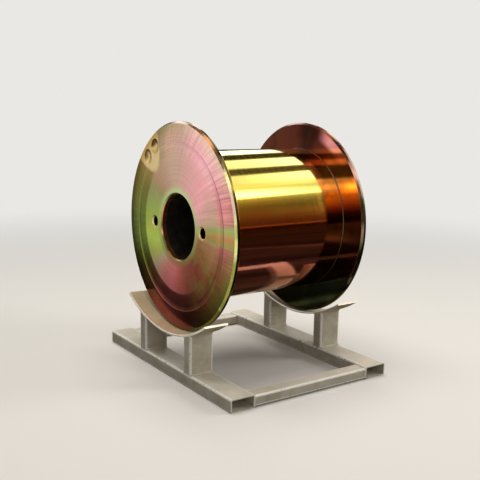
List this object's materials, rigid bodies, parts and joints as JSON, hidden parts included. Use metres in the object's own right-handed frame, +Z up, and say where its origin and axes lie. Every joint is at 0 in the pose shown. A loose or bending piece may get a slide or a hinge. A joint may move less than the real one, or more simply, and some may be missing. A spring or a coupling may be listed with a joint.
{
  "type": "steel flanged cable drum",
  "caption": "Turned and plated steel cable drum with flat flanges, a centre bore and drive holes, lying on a painted steel cradle of rolled saddles on tube legs and rails.",
  "frame": {"origin": "on the floor, under the middle of the drum and its cradle", "axes": "+X along the drum's axis towards the flange without balance pockets, +Z up, +Y across the cradle"},
  "size_m": [0.364, 0.472, 0.4872],
  "materials": {
    "plated_steel": "turned steel, zinc plated with a yellow iridescent chromate",
    "tube_inside": "plain tube, thinly plated and dull inside",
    "cradle_paint": "warm off-white paint, satin, brushed over welded tube"
  },
  "bodies": {
    "root": {"flange_left": "plated_steel", "flange_right": "plated_steel", "barrel_tube": "plated_steel", "spindle_tube": "tube_inside", "saddle_left": "cradle_paint", "saddle_right": "cradle_paint", "leg_left_far": "cradle_paint", "leg_left_near": "cradle_paint", "leg_right_far": "cradle_paint", "leg_right_near": "cradle_paint", "cross_rail_left": "cradle_paint", "cross_rail_right": "cradle_paint", "tie_rail_far": "cradle_paint", "tie_rail_near": "cradle_paint"}
  },
  "joints": []
}
